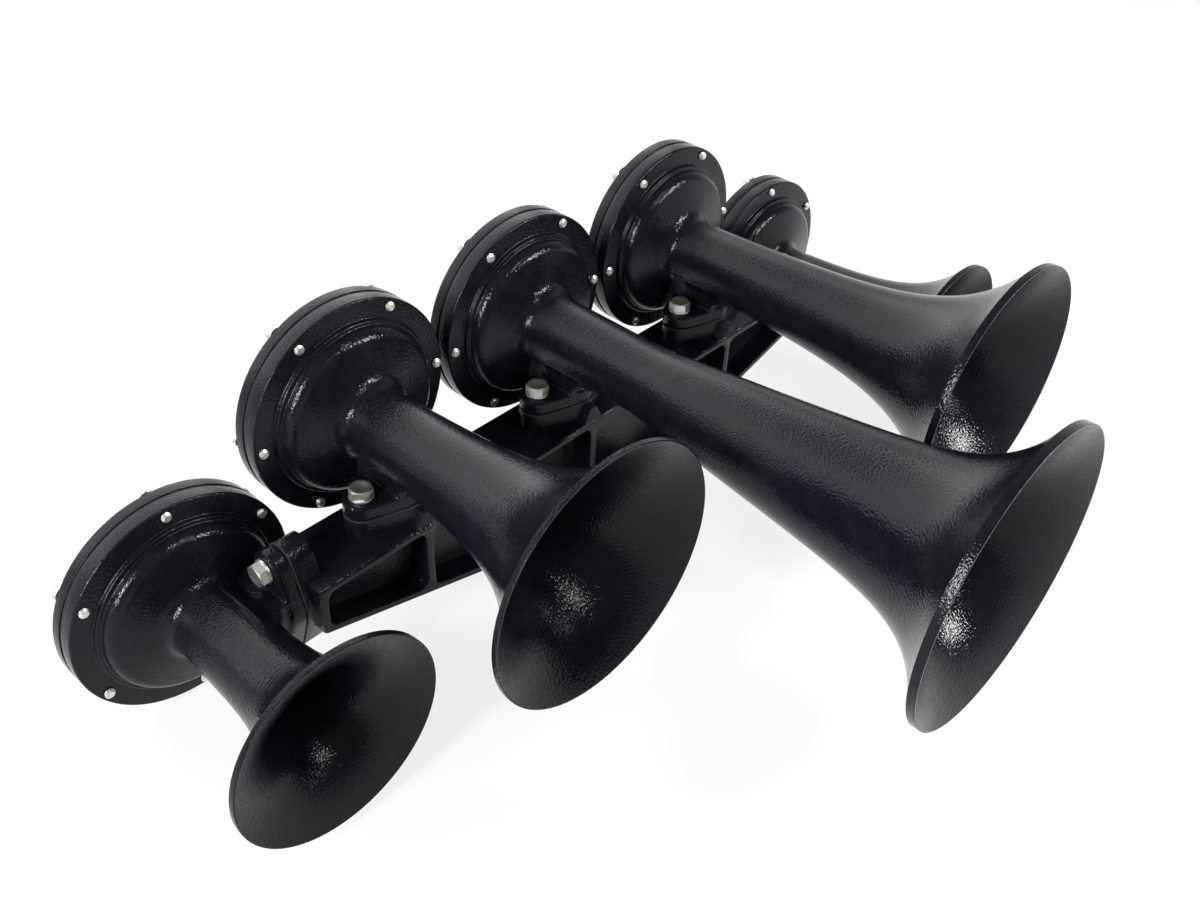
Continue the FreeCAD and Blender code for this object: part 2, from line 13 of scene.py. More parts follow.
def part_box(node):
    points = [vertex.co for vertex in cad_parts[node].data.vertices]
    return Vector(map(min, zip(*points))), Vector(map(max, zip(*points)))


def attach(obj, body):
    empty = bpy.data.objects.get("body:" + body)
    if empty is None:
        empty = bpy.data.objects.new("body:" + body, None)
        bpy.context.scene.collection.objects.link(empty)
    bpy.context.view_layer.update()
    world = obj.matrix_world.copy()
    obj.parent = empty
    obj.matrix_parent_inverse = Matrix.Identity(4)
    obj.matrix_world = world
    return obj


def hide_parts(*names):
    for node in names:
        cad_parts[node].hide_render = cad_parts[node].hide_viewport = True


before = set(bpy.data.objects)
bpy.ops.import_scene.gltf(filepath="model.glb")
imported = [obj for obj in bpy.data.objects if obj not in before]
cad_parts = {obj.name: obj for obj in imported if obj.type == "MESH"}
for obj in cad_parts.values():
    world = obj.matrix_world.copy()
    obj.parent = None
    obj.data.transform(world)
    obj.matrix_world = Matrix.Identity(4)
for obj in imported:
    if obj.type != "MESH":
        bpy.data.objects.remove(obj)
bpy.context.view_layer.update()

log = logging.getLogger("train_air_horn")

MM = 0.001
ASSEMBLY = "horn_assembly"

MERGE_DISTANCE = 0.001 * MM
FLAT_LIMIT = math.radians(1.0)
CORNER_STEPS = 5
TURNS = 160
COARSE_TURNS = 96

# A corner of an outline: its two coordinates and its rounding radius
Corner = tuple[float, float, float]


class MaterialSlot(Enum):
    """The record's material slots."""

    PAINT = "black_casting"
    PLATING = "plated_steel"
    GASKET = "gasket_sheet"
    SPRING = "spring_steel"


class SheetPiece(Enum):
    """The flat pieces that keep their CAD shape, by the start of their node's name."""

    FRONT_GASKET = "front_gasket"
    REAR_GASKET = "rear_gasket"
    FOOT_GASKET = "foot_gasket"


# Shader maths


class Signal:
    """One shader value that takes part in Python expressions."""

    def __init__(self, graph: "ShaderGraph", socket: bpy.types.NodeSocket) -> None:
        """Wrap an output socket of a graph."""
        self.graph = graph
        self.socket = socket

    def __add__(self, other: "Signal | float") -> "Signal":
        """Sum."""
        return self.graph.maths("ADD", self, other)

    def __radd__(self, other: float) -> "Signal":
        """Sum with the number in front."""
        return self.graph.maths("ADD", other, self)

    def __sub__(self, other: "Signal | float") -> "Signal":
        """Difference."""
        return self.graph.maths("SUBTRACT", self, other)

    def __rsub__(self, other: float) -> "Signal":
        """Difference with the number in front."""
        return self.graph.maths("SUBTRACT", other, self)

    def __mul__(self, other: "Signal | float") -> "Signal":
        """Product."""
        return self.graph.maths("MULTIPLY", self, other)

    def __rmul__(self, other: float) -> "Signal":
        """Product with the number in front."""
        return self.graph.maths("MULTIPLY", other, self)


class ShaderGraph:
    """A node tree that is being filled, for a material or for the world."""

    # The Mix node's sockets share their names, so the colour ones go by number
    mix_colours = (6, 7)
    mix_output = 2
    middle_half = (0.25, 0.75)

    def __init__(self, tree: bpy.types.NodeTree) -> None:
        """Start from an empty tree."""
        self.tree = tree
        tree.nodes.clear()

    def node(self, kind: str, settings: dict | None = None, sockets: dict | None = None,
             output: str | int = 0) -> Signal:
        """Add any node.

        Args:
            kind: Type name of the node.
            settings: Properties of the node.
            sockets: Values or signals for its inputs, by name or number.
            output: Name or number of the output that is handed back.

        Returns:
            The chosen output as a signal.
        """
        made = self.tree.nodes.new(kind)
        for name, value in (settings or {}).items():
            setattr(made, name, value)
        for name, value in (sockets or {}).items():
            if isinstance(value, Signal):
                self.tree.links.new(value.socket, made.inputs[name])
            else:
                made.inputs[name].default_value = value
        return Signal(self, made.outputs[output]) if made.outputs else Signal(self, None)

    def maths(self, operation: str, first: "Signal | float", second: "Signal | float") -> Signal:
        """Join two values with a Math node."""
        return self.node("ShaderNodeMath", {"operation": operation}, {0: first, 1: second})

    def noise(self, scale: float, detail: float = 2.0, roughness: float = 0.5) -> Signal:
        """Noise fixed to the object, with a number of features per metre."""
        place = self.node("ShaderNodeTexCoord", output="Object")
        return self.node("ShaderNodeTexNoise", {"noise_dimensions": "3D"},
                         {"Vector": place, "Scale": scale, "Detail": detail,
                          "Roughness": roughness}, "Fac")

    def spread(self, value: Signal, low: float, high: float) -> Signal:
        """Stretch the middle half of a 0 to 1 value over a range."""
        start, end = self.middle_half
        return self.node("ShaderNodeMapRange", {},
                         {"Value": value, "From Min": start, "From Max": end,
                          "To Min": low, "To Max": high})

    def blend(self, share: Signal, low: Sequence[float], high: Sequence[float]) -> Signal:
        """Mix two colours by a share."""
        first, second = self.mix_colours
        return self.node("ShaderNodeMix", {"data_type": "RGBA"},
                         {"Factor": share, first: (*low, 1.0), second: (*high, 1.0)},
                         self.mix_output)

    def bump(self, height: Signal, depth: float, strength: float = 1.0,
             under: Signal | None = None) -> Signal:
        """Relief of a depth in metres, on top of another relief if one is given."""
        sockets = {"Height": height, "Distance": depth, "Strength": strength}
        if under is not None:
            sockets["Normal"] = under
        return self.node("ShaderNodeBump", {}, sockets)


def new_material(name: str, build: Callable[[ShaderGraph], dict]) -> bpy.types.Material:
    """Make a material with one principled shader.

    Args:
        name: Name of the material.
        build: Gives the shader's sockets as values or signals.

    Returns:
        The material.
    """
    material = bpy.data.materials.new(name)
    material.use_nodes = True
    graph = ShaderGraph(material.node_tree)
    surface = graph.node("ShaderNodeBsdfPrincipled", {}, build(graph))
    graph.node("ShaderNodeOutputMaterial", {}, {"Surface": surface})
    return material


@dataclass(frozen=True)
class CastPaint:
    """Gloss black paint over a sand casting: fine pebbled skin, faint swells beneath."""

    slot: MaterialSlot = MaterialSlot.PAINT
    grain_per_metre: float = 760.0
    grain_detail: float = 1.5
    grain_roughness: float = 0.45
    grain_depth: float = 0.3 * MM
    swell_per_metre: float = 75.0
    swell_depth: float = 0.035 * MM
    specular: float = 0.17
    roughness: tuple = (0.09, 0.14)
    dark: tuple = (0.0036, 0.0038, 0.0058)
    light: tuple = (0.0064, 0.0068, 0.0096)

    def sockets(self, graph: ShaderGraph) -> dict:
        """Sockets of the paint's shader."""
        grain = graph.noise(self.grain_per_metre, self.grain_detail, self.grain_roughness)
        swell = graph.noise(self.swell_per_metre)
        relief = graph.bump(swell, self.swell_depth)
        relief = graph.bump(grain, self.grain_depth, under=relief)
        return {
            "Base Color": graph.blend(graph.spread(swell, 0.0, 1.0), self.dark, self.light),
            "Roughness": graph.spread(swell, *self.roughness),
            "Specular IOR Level": self.specular,
            "Normal": relief,
        }

    def material(self) -> bpy.types.Material:
        """The paint as a material."""
        return new_material("gloss_black_paint", self.sockets)


@dataclass(frozen=True)
class ZincPlating:
    """Bright zinc on the screws, bolts and lock washers."""

    slot: MaterialSlot = MaterialSlot.PLATING
    cloud_per_metre: float = 260.0
    cloud_detail: float = 3.0
    fleck_per_metre: float = 1900.0
    fleck_detail: float = 2.0
    noise_roughness: float = 0.6
    relief_depth: float = 0.03 * MM
    relief_strength: float = 0.6
    roughness: tuple = (0.3, 0.5)
    dull: tuple = (0.55, 0.54, 0.51)
    bright: tuple = (0.88, 0.86, 0.81)

    def sockets(self, graph: ShaderGraph) -> dict:
        """Sockets of the plating's shader."""
        cloud = graph.noise(self.cloud_per_metre, self.cloud_detail, self.noise_roughness)
        fleck = graph.noise(self.fleck_per_metre, self.fleck_detail, self.noise_roughness)
        return {
            "Base Color": graph.blend(graph.spread(cloud, 0.0, 1.0), self.dull, self.bright),
            "Metallic": 1.0,
            "Roughness": graph.spread(fleck, *self.roughness),
            "Normal": graph.bump(fleck, self.relief_depth, self.relief_strength),
        }

    def material(self) -> bpy.types.Material:
        """The plating as a material."""
        return new_material("bright_zinc", self.sockets)


@dataclass(frozen=True)
class FibreGasket:
    """Dark pressed fibre of the gaskets, seen only at its edge."""

    slot: MaterialSlot = MaterialSlot.GASKET
    fibres_per_metre: float = 1400.0
    fibre_detail: float = 4.0
    fibre_roughness: float = 0.7
    relief_depth: float = 0.06 * MM
    roughness: tuple = (0.7, 0.92)
    dark: tuple = (0.006, 0.006, 0.006)
    light: tuple = (0.03, 0.029, 0.027)

    def sockets(self, graph: ShaderGraph) -> dict:
        """Sockets of the gasket's shader."""
        fibre = graph.noise(self.fibres_per_metre, self.fibre_detail, self.fibre_roughness)
        return {
            "Base Color": graph.blend(fibre, self.dark, self.light),
            "Roughness": graph.spread(fibre, *self.roughness),
            "Normal": graph.bump(fibre, self.relief_depth),
        }

    def material(self) -> bpy.types.Material:
        """The gasket sheet as a material."""
        return new_material("fibre_gasket", self.sockets)


@dataclass(frozen=True)
class SpringSheet:
    """Blued spring steel of the diaphragms, with its faint rolling lines along X."""

    slot: MaterialSlot = MaterialSlot.SPRING
    stretch: tuple = (6.0, 400.0, 400.0)
    line_scale: float = 5.0
    line_detail: float = 3.0
    relief_depth: float = 0.01 * MM
    roughness: tuple = (0.25, 0.42)
    dark: tuple = (0.02, 0.022, 0.03)
    light: tuple = (0.06, 0.06, 0.075)

    def sockets(self, graph: ShaderGraph) -> dict:
        """Sockets of the diaphragm's shader."""
        place = graph.node("ShaderNodeTexCoord", output="Object")
        drawn = graph.node("ShaderNodeMapping", {}, {"Vector": place, "Scale": self.stretch})
        lines = graph.node("ShaderNodeTexNoise", {},
                           {"Vector": drawn, "Scale": self.line_scale,
                            "Detail": self.line_detail}, "Fac")
        return {
            "Base Color": graph.blend(lines, self.dark, self.light),
            "Metallic": 1.0,
            "Roughness": graph.spread(lines, *self.roughness),
            "Normal": graph.bump(lines, self.relief_depth),
        }

    def material(self) -> bpy.types.Material:
        """The spring sheet as a material."""
        return new_material("rolled_spring_steel", self.sockets)


class Finishes:
    """All finishes of the horn, each made once."""

    def __init__(self) -> None:
        """Make every material."""
        self.made = {finish.slot: finish.material()
                     for finish in (CastPaint(), ZincPlating(), FibreGasket(), SpringSheet())}

    def dress(self, obj: bpy.types.Object, slot: MaterialSlot) -> None:
        """Give an object one finish all over."""
        if obj.data.materials:
            for index in range(len(obj.data.materials)):
                obj.data.materials[index] = self.made[slot]
        else:
            obj.data.materials.append(self.made[slot])


# Modelling


def pick(obj: bpy.types.Object) -> None:
    """Select one object alone and make it active."""
    bpy.ops.object.select_all(action="DESELECT")
    obj.select_set(True)
    bpy.context.view_layer.objects.active = obj


class Workpiece:
    """One mesh that is shaped with Blender's modelling operators."""

    def __init__(self, obj: bpy.types.Object) -> None:
        """Take over an object."""
        self.obj = obj

    @classmethod
    def added(cls, name: str, primitive: Callable, **size: object) -> "Workpiece":
        """Add a primitive.

        Args:
            name: Name of the piece.
            primitive: Operator that adds it.
            **size: The operator's settings.

        Returns:
            The new workpiece.
        """
        bpy.ops.object.select_all(action="DESELECT")
        primitive(**size)
        piece = cls(bpy.context.object)
        piece.rename(name)
        return piece

    def rename(self, name: str) -> None:
        """Name the object and its mesh."""
        self.obj.name = name
        self.obj.data.name = name

    @contextmanager
    def editing(self, kind: str = "VERT") -> Iterator[None]:
        """Edit mode on this piece alone, with nothing selected at first."""
        pick(self.obj)
        bpy.ops.object.mode_set(mode="EDIT")
        bpy.ops.mesh.select_mode(type=kind)
        bpy.ops.mesh.select_all(action="DESELECT")
        yield
        bpy.ops.object.mode_set(mode="OBJECT")

    def choose_vertices(self, test: Callable[[Vector], bool]) -> None:
        """Select the vertices whose place passes a test, while editing."""
        mesh = bmesh.from_edit_mesh(self.obj.data)
        for vertex in mesh.verts:
            vertex.select = test(vertex.co)
        mesh.select_flush(True)
        bmesh.update_edit_mesh(self.obj.data)

    def choose_faces(self, test: Callable[[Vector], bool]) -> None:
        """Select the faces whose normal passes a test, while editing."""
        mesh = bmesh.from_edit_mesh(self.obj.data)
        for face in mesh.faces:
            face.select = test(face.normal)
        mesh.select_flush(True)
        bmesh.update_edit_mesh(self.obj.data)

    def modify(self, kind: str, **settings: object) -> None:
        """Add a modifier and apply it.

        Args:
            kind: Type of the modifier.
            **settings: Its settings.
        """
        pick(self.obj)
        modifier = self.obj.modifiers.new(kind.lower(), kind)
        for name, value in settings.items():
            setattr(modifier, name, value)
        bpy.ops.object.modifier_apply(modifier=modifier.name)

    def combine(self, operation: str, tool: "Workpiece") -> "Workpiece":
        """Join, cut or intersect with another piece, which is used up."""
        self.modify("BOOLEAN", operation=operation, solver="EXACT", object=tool.obj)
        tool.discard()
        return self

    def absorb(self, others: Iterable["Workpiece"]) -> "Workpiece":
        """Take other pieces' meshes into this one as they are."""
        pick(self.obj)
        for other in others:
            other.obj.select_set(True)
        bpy.ops.object.join()
        return self

    def discard(self) -> None:
        """Remove the piece and its mesh."""
        mesh = self.obj.data
        bpy.data.objects.remove(self.obj)
        bpy.data.meshes.remove(mesh)

    def copy(self, name: str) -> "Workpiece":
        """A copy with its own mesh."""
        pick(self.obj)
        bpy.ops.object.duplicate(linked=False)
        twin = Workpiece(bpy.context.object)
        twin.rename(name)
        return twin

    def put(self, place: Matrix) -> "Workpiece":
        """Move the piece and keep the move in its mesh."""
        pick(self.obj)
        self.obj.matrix_world = place @ self.obj.matrix_world
        bpy.ops.object.transform_apply(location=True, rotation=True, scale=True)
        return self

    def clean(self) -> "Workpiece":
        """Merge doubles and turn every face outwards."""
        with self.editing():
            bpy.ops.mesh.select_all(action="SELECT")
            bpy.ops.mesh.remove_doubles(threshold=MERGE_DISTANCE)
            bpy.ops.mesh.normals_make_consistent(inside=False)
        return self

    def smooth(self, limit_degrees: float = 32.0) -> "Workpiece":
        """Shade smooth, apart from edges sharper than a limit."""
        pick(self.obj)
        bpy.ops.object.shade_smooth_by_angle(angle=math.radians(limit_degrees))
        return self


def traced(name: str, corners: Sequence[Corner], steps: int = CORNER_STEPS) -> Workpiece:
    """Trace a closed outline in the XY plane by extruding a point from corner to corner.

    Args:
        name: Name of the piece.
        corners: Each corner's x, y and rounding radius.
        steps: Segments of each rounding.

    Returns:
        The outline, edges only.
    """
    points = [Vector((x, y, 0.0)) for x, y, _ in corners]
    outline = Workpiece.added(name, bpy.ops.mesh.primitive_plane_add, size=MM)
    with outline.editing():
        bpy.ops.mesh.select_all(action="SELECT")
        bpy.ops.mesh.merge(type="CENTER")
        bpy.ops.transform.translate(value=points[0])
        for start, end in zip(points, points[1:]):
            bpy.ops.mesh.extrude_vertices_move(TRANSFORM_OT_translate={"value": end - start})
        bpy.ops.mesh.extrude_vertices_move(
            TRANSFORM_OT_translate={"value": points[0] - points[-1]})
        bpy.ops.mesh.select_all(action="SELECT")
        bpy.ops.mesh.remove_doubles(threshold=MERGE_DISTANCE)
        count = len(points)
        for index, (_, _, radius) in enumerate(corners):
            if radius <= 0:
                continue
            here = points[index]
            before = (points[index - 1] - here).normalized()
            after = (points[(index + 1) % count] - here).normalized()
            setback = radius / math.tan(before.angle(after) / 2)
            outline.choose_vertices(lambda place: (place - here).length < 2 * MERGE_DISTANCE)
            bpy.ops.mesh.bevel(offset=setback, offset_type="OFFSET", segments=steps,
                               profile=0.5, affect="VERTICES")
    return outline


def spun(name: str, corners: Sequence[Corner], turns: int = TURNS) -> Workpiece:
    """Spin a closed outline about the Y axis, x being the radius.

    Args:
        name: Name of the piece.
        corners: Each corner's radius, place along the axis and rounding radius.
        turns: Number of steps round the axis.

    Returns:
        The turned solid.
    """
    body = traced(name, corners)
    with body.editing():
        bpy.ops.mesh.select_all(action="SELECT")
        bpy.ops.mesh.spin(steps=turns, angle=math.tau, center=(0, 0, 0), axis=(0, 1, 0))
    return body.clean()


def raised(name: str, corners: Sequence[Corner], height: float, steps: int) -> Workpiece:
    """Raise a closed outline in the XY plane by a height along Z.

    Args:
        name: Name of the piece.
        corners: Each corner's x, y and rounding radius.
        height: Height of the solid.
        steps: Segments of each rounding.

    Returns:
        The raised solid.
    """
    body = traced(name, corners, steps)
    with body.editing():
        bpy.ops.mesh.select_all(action="SELECT")
        bpy.ops.mesh.edge_face_add()
        bpy.ops.mesh.extrude_region_move(TRANSFORM_OT_translate={"value": (0, 0, height)})
    return body.clean()


# Sizes


@dataclass(frozen=True)
class ChamberSize:
    """Sound chamber of every horn; places run along the axis from the flange's front face."""

    flange_radius: float = 68.0 * MM
    flange_depth: float = 8.6 * MM
    edge_round: float = 1.2 * MM
    seam_round: float = 0.25 * MM
    step_radius: float = 55.4 * MM
    step_height: float = 3.0 * MM
    step_root_round: float = 1.0 * MM
    step_round: float = 1.1 * MM
    inside_round: float = 2.0 * MM
    dome_radius: float = 52.5 * MM
    dome_side: float = 9.9 * MM
    dome_round: float = 7.0 * MM
    dome_slope: float = 0.222
    throat_fillet: float = 9.0 * MM
    wall: float = 4.5 * MM
    nozzle_radius: float = 11.0 * MM
    nozzle_lip_radius: float = 14.5 * MM
    nozzle_root_radius: float = 18.5 * MM
    lip_plane: float = 9.4 * MM
    cover_plane: float = 11.0 * MM
    rim_plane: float = 18.5 * MM
    crown_plane: float = 27.5 * MM
    crown_radius: float = 33.0 * MM
    cover_slope_top: float = 3.0 * MM
    vent_radius: float = 1.5 * MM

    def dome_front(self, radius: float) -> float:
        """How far the dome's cone stands in front of the flange at a radius."""
        return self.dome_side + (self.dome_radius - radius) * self.dome_slope

    def chamber_front(self, radius: float) -> float:
        """The same for the inside of the chamber."""
        return self.dome_front(radius) - self.wall * math.hypot(1.0, self.dome_slope)


@dataclass(frozen=True)
class BellSize:
    """Sizes of one bell; stations run forward from the chamber flange."""

    number: int
    length: float
    mouth_radius: float
    throat_radius: float
    taper_start: float
    taper: float
    flare: float
    lip_length: float
    wall: float = 4.0 * MM
    lip_edge: float = 0.9 * MM
    lip_round: float = 0.35 * MM

    @property
    def turn(self) -> float:
        """Turn about Y: the end horns lie with their feet against the beam's ends."""
        return math.radians({1: -90.0, 5: 90.0}.get(self.number, 0.0))

    def growth(self, station: float) -> float:
        """How much the flare alone adds to the radius at a station."""
        run = self.length - self.lip_length - self.taper_start
        full = self.mouth_radius - self.throat_radius - self.taper * run
        return full * math.exp((station - self.length + self.lip_length) / self.flare)

    def radius_at(self, station: float) -> float:
        """Outer radius at a station in front of the straight throat."""
        run = station - self.taper_start
        return self.throat_radius + self.taper * run + self.growth(station)

    def bore_at(self, station: float) -> float:
        """Radius of the bore, which runs out to the thin front edge of the lip."""
        start = self.throat_radius - self.wall
        run = self.length - self.taper_start
        full = self.mouth_radius - self.lip_edge - start - self.taper * run
        widened = full * math.exp((station - self.length) / self.flare)
        return start + self.taper * (station - self.taper_start) + widened


BELLS = (
    BellSize(1, 138.5 * MM, 62.5 * MM, 21.7 * MM, 32.0 * MM, 0.03, 15.3 * MM, 3.5 * MM),
    BellSize(2, 201.0 * MM, 76.6 * MM, 21.4 * MM, 32.0 * MM, 0.04, 31.2 * MM, 3.0 * MM),
    BellSize(3, 348.2 * MM, 88.5 * MM, 22.0 * MM, 105.0 * MM, 0.11, 21.5 * MM, 5.0 * MM),
    BellSize(4, 263.9 * MM, 83.0 * MM, 21.9 * MM, 32.0 * MM, 0.03, 38.5 * MM, 4.5 * MM),
    BellSize(5, 170.4 * MM, 63.5 * MM, 20.6 * MM, 32.0 * MM, 0.02, 30.6 * MM, 3.5 * MM),
)


def horn_place(size: BellSize, chamber: ChamberSize) -> Matrix:
    """Where the frame holds a horn: its flange centre, read from its back cover, and its turn.
    """
    low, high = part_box(f"back_cover_{size.number}")
    centre = (low + high) / 2
    at = Vector((centre.x, low.y - chamber.cover_plane, centre.z))
    return Matrix.Translation(at) @ Matrix.Rotation(size.turn, 4, "Y")


@dataclass(frozen=True)
class FootSize:
    """Two-bolt foot under each throat; heights are distances below the horn's axis."""

    bolt_line: float = 36.0 * MM
    bolt_span: float = 26.5 * MM
    face: float = 41.2 * MM
    plate_depth: float = 9.7 * MM
    nose_radius: float = 19.5 * MM
    ear_radius: float = 11.5 * MM
    round_sides: int = 64
    web_half_width: float = 12.5 * MM
    web_front: float = 17.0 * MM
    web_rear: float = 8.0 * MM
    web_length: float = 75.0 * MM
    web_side_half: float = 30.0 * MM
    web_round: float = 2.0 * MM
    web_steps: int = 6
    web_top_share: float = 0.72
    shoulder: float = 8.0 * MM
    shoulder_round_share: float = 0.9
    shoulder_drop: float = 4.0 * MM
    shoulder_rise: float = 5.0 * MM
    front_round: float = 10.0 * MM
    front_run: float = 6.0 * MM
    plate_bite: float = 3.0 * MM
    throat_bite: float = 1.0 * MM
    bore_margin: float = 1.5 * MM
    skin: float = 0.25 * MM
    stub_wall: float = 2.4 * MM
    stub_rear: float = 2.0 * MM
    stub_front: float = 76.0 * MM
    voxel: float = 0.95 * MM
    smoothing: float = 0.5
    smoothing_rounds: int = 6
    cut_share: float = 0.35

    @property
    def ear_top(self) -> float:
        """Level of the ears' upper face."""
        return self.face - self.plate_depth


def diamond(name: str, foot: FootSize) -> Workpiece:
    """Two-bolt plate on the origin: the hull of two ears and a middle, upright."""
    rounds, height = [], foot.plate_depth
    for x, radius in ((-foot.bolt_span, foot.ear_radius), (0.0, foot.nose_radius),
                      (foot.bolt_span, foot.ear_radius)):
        rounds.append(Workpiece.added(name, bpy.ops.mesh.primitive_cylinder_add,
                                      vertices=foot.round_sides, radius=radius, depth=height,
                                      location=(x, 0.0, height / 2)))
        rounds[-1].put(Matrix.Identity(4))
    plate = rounds[0].absorb(rounds[1:])
    with plate.editing():
        bpy.ops.mesh.select_all(action="SELECT")
        bpy.ops.mesh.convex_hull(join_triangles=True)
    plate.rename(name)
    return plate


class BellCasting:
    """One bell with its chamber flange, dome and foot."""

    flare_steps = 40

    def __init__(self, size: BellSize, chamber: ChamberSize, foot: FootSize) -> None:
        """Keep the sizes."""
        self.size = size
        self.chamber = chamber
        self.foot = foot

    def flare_corners(self, law: Callable[[float], float], end: float) -> list[Corner]:
        """Points along a flare, closer together where it turns faster.

        Args:
            law: Radius at a station.
            end: Last station.

        Returns:
            The flare's points, none of them rounded.
        """
        start, count = self.size.taper_start, self.flare_steps
        stations = (start + (end - start) * math.sin(index / count * math.pi / 2)
                    for index in range(count + 1))
        return [(law(station), -station, 0.0) for station in stations]

    def outline(self) -> list[Corner]:
        """Half section of the whole casting, from the nozzle round the mouth and back."""
        c, s = self.chamber, self.size
        root, side = c.nozzle_root_radius, c.dome_radius - c.wall
        body = [
            (c.nozzle_radius, c.lip_plane, 0.0),
            (c.nozzle_lip_radius, c.lip_plane, 0.0),
            (root, -c.chamber_front(root), c.inside_round),
            (side, -c.chamber_front(side), c.inside_round),
            (side, c.flange_depth, 0.0),
            (c.flange_radius, c.flange_depth, c.seam_round),
            (c.flange_radius, 0.0, c.edge_round),
            (c.step_radius, 0.0, c.step_root_round),
            (c.step_radius, -c.step_height, c.step_round),
            (c.dome_radius, -c.step_height, c.step_round),
            (c.dome_radius, -c.dome_side, c.dome_round),
            (s.throat_radius, -c.dome_front(s.throat_radius), c.throat_fillet),
        ]
        outside = self.flare_corners(s.radius_at, s.length - s.lip_length)
        inside = self.flare_corners(s.bore_at, s.length)[::-1]
        outside[0] = (s.throat_radius, -s.taper_start, 0.0)
        lip = [(s.mouth_radius, -s.length, s.lip_round)]
        return body + outside + lip + inside

    def shell(self) -> Workpiece:
        """The turned part of the casting."""
        return spun(f"bell_casting_{self.size.number}", self.outline())

    def web(self) -> Workpiece:
        """Web from the throat to the foot plate, with hollow shoulders at the throat."""
        f, radius = self.foot, self.size.throat_radius
        low = -f.face + f.plate_depth / 2
        top = -radius * f.web_top_share
        narrow, wide = f.web_half_width, f.web_half_width + f.shoulder
        neck, brim = top - f.shoulder_drop, top + f.shoulder_rise
        hollow = f.shoulder * f.shoulder_round_share
        across = raised("web_across", [
            (-narrow, low, f.web_round), (narrow, low, f.web_round), (narrow, neck, hollow),
            (wide, brim, 0.0), (-wide, brim, 0.0), (-narrow, neck, hollow),
        ], f.web_length, f.web_steps)
        across.put(Matrix.Rotation(math.pi / 2, 4, "X"))
        front = f.bolt_line + f.web_front
        reach = front + f.front_round + f.front_run
        floor, roof = low - f.plate_bite, -radius + f.throat_bite
        side = raised("web_side", [
            (-f.web_rear, floor, 0.0), (front, floor, f.web_round),
            (front, roof, f.front_round), (reach, roof, 0.0),
            (reach, 0.0, 0.0), (-f.web_rear, 0.0, 0.0),
        ], 2 * f.web_side_half, f.web_steps)
        side.put(Matrix(((0, 0, 1, -f.web_side_half), (-1, 0, 0, 0), (0, 1, 0, 0),
                         (0, 0, 0, 1))))
        web = across.clean().combine("INTERSECT", side.clean())
        return web.combine("DIFFERENCE", self.bore_core())

    def bore_core(self) -> Workpiece:
        """Core of the bore, reaching a little way into its wall, which keeps the web out."""
        margin, middle = self.foot.bore_margin, self.chamber.nozzle_radius / 2
        rear = self.chamber.lip_plane + margin
        bore = self.flare_corners(self.size.bore_at, self.size.length)
        return spun("bore_core", [
            (middle, rear, 0.0), (self.chamber.nozzle_radius + margin, rear, 0.0),
            *((radius + margin, place, 0.0) for radius, place, _ in bore),
            (middle, -self.size.length, 0.0),
        ], COARSE_TURNS)

    def throat_stub(self) -> Workpiece:
        """Skin of the throat just under its surface, which the web's fillets grow out of."""
        s, f = self.size, self.foot
        radius, end = s.throat_radius - f.skin, f.stub_front
        bend = -min(s.taper_start, end)
        tip = s.radius_at(end) if end > s.taper_start else s.throat_radius
        tip = max(tip, s.throat_radius) - f.skin
        return spun("throat_stub", [
            (radius - f.stub_wall, -f.stub_rear, 0.0), (radius, -f.stub_rear, 0.0),
            (radius, bend, 0.0), (tip, -end, 0.0), (tip - f.stub_wall, -end, 0.0),
            (radius - f.stub_wall, bend, 0.0),
        ], COARSE_TURNS)

    def foot_piece(self) -> Workpiece:
        """Foot plate and web as one cast form, its corners run together."""
        f = self.foot
        plate = diamond("foot_plate", f)
        plate.put(Matrix.Translation((0.0, -f.bolt_line, -f.face)))
        cast = plate.absorb([self.web(), self.throat_stub()])
        cast.modify("REMESH", mode="VOXEL", voxel_size=f.voxel, adaptivity=0.0)
        cast.modify("SMOOTH", factor=f.smoothing, iterations=f.smoothing_rounds)
        with cast.editing():
            bpy.ops.mesh.select_all(action="SELECT")
            bpy.ops.mesh.bisect(plane_co=(0, 0, -f.cut_share * self.size.throat_radius),
                                plane_no=(0, 0, 1), use_fill=True, clear_outer=True)
        return cast

    def build(self) -> Workpiece:
        """The whole casting in the horn's own frame."""
        shell = self.shell()
        return shell.absorb([self.foot_piece()]).smooth()


class BackCover:
    """Dished rear half of the chamber."""

    vent_round = 0.5 * MM
    crown_round = 9.0 * MM
    shoulder_round = 2.5 * MM
    root_round = 1.5 * MM
    floor_round = 1.0 * MM
    inner_crown_round = 3.0 * MM

    def __init__(self, chamber: ChamberSize) -> None:
        """Keep the sizes."""
        self.chamber = chamber

    def build(self) -> Workpiece:
        """The cover in the horn's own frame."""
        c = self.chamber
        side, inner = c.dome_radius - c.wall, c.crown_plane - c.wall
        shoulder = c.dome_radius - c.cover_slope_top
        cover = spun("back_cover", [
            (c.vent_radius, c.crown_plane, self.vent_round),
            (c.crown_radius, c.crown_plane, self.crown_round),
            (shoulder, c.rim_plane + c.cover_slope_top, self.shoulder_round),
            (c.dome_radius, c.rim_plane, self.root_round),
            (c.flange_radius, c.rim_plane, c.edge_round),
            (c.flange_radius, c.cover_plane, c.seam_round),
            (side, c.cover_plane, 0.0),
            (side, c.cover_plane + c.wall, self.floor_round),
            (c.crown_radius, inner, self.inner_crown_round),
            (c.vent_radius, inner, 0.0),
        ])
        return cover.smooth()


